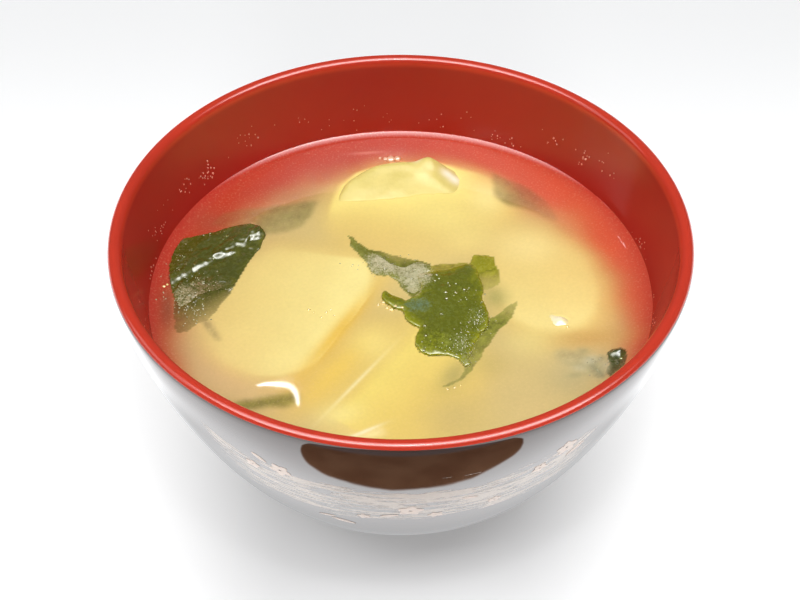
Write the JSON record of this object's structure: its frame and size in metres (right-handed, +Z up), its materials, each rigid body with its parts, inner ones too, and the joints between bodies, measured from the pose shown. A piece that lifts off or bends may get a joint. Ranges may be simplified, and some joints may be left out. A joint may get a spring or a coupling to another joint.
{
  "type": "bowl of miso soup with potato and seaweed",
  "caption": "Round lacquered soup bowl on a low foot, filled with cloudy miso soup, chunks of boiled potato and wakame seaweed leaves.",
  "frame": {"origin": "centre of the underside of the bowl's foot ring, on the surface it stands on", "axes": "+Z up along the bowl's axis, -Y towards the viewer, +X to the viewer's right"},
  "size_m": [0.115, 0.115, 0.063],
  "materials": {
    "lacquer": "glossy red inside and on the lip, glossy dark brown outside with a brushed pale gold band",
    "broth": "wet, cloudy tan liquid",
    "potato": "wet boiled potato, pale yellow",
    "wakame": "wet dark green leaf"
  },
  "bodies": {
    "root": {"bowl": "lacquer", "soup": "broth", "potato_back": "potato", "potato_left": "potato", "potato_front": "potato", "potato_right": "potato", "potato_sliver": "potato", "wakame_left": "wakame", "wakame_centre": "wakame", "wakame_lobe": "wakame", "wakame_middle": "wakame", "wakame_front": "wakame", "wakame_edge": "wakame"}
  },
  "joints": []
}
